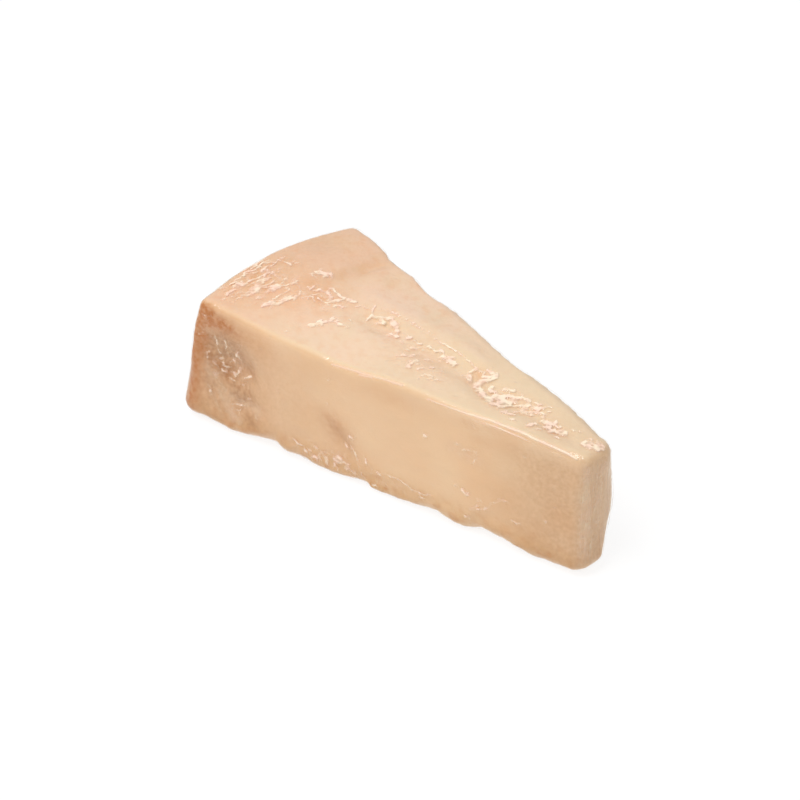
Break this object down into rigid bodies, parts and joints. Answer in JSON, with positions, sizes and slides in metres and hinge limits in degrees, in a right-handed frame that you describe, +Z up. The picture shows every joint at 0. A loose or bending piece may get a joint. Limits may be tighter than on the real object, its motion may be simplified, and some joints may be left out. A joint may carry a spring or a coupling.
{
  "type": "parmesan wedge",
  "caption": "Wedge of hard, granular cheese, cut across its point, in a skin-tight clear wrap; the rind is at the wide end and it rests flat.",
  "frame": {"origin": "middle of the bounding box's footprint, on the surface that the wedge rests on", "axes": "+X from the rind to the cut-off point, -Y out of the flat knife-cut side, +Z up"},
  "size_m": [0.1688, 0.0746, 0.0541],
  "materials": {
    "cheese": "pale straw-pink hard cheese, fine grained, browner at the rind and in the hollow beside it",
    "clear_film": "thin clear shrink film, glossy, milky where it stands off the cheese"
  },
  "bodies": {
    "root": {"cheese_wedge": "cheese"}
  },
  "joints": []
}
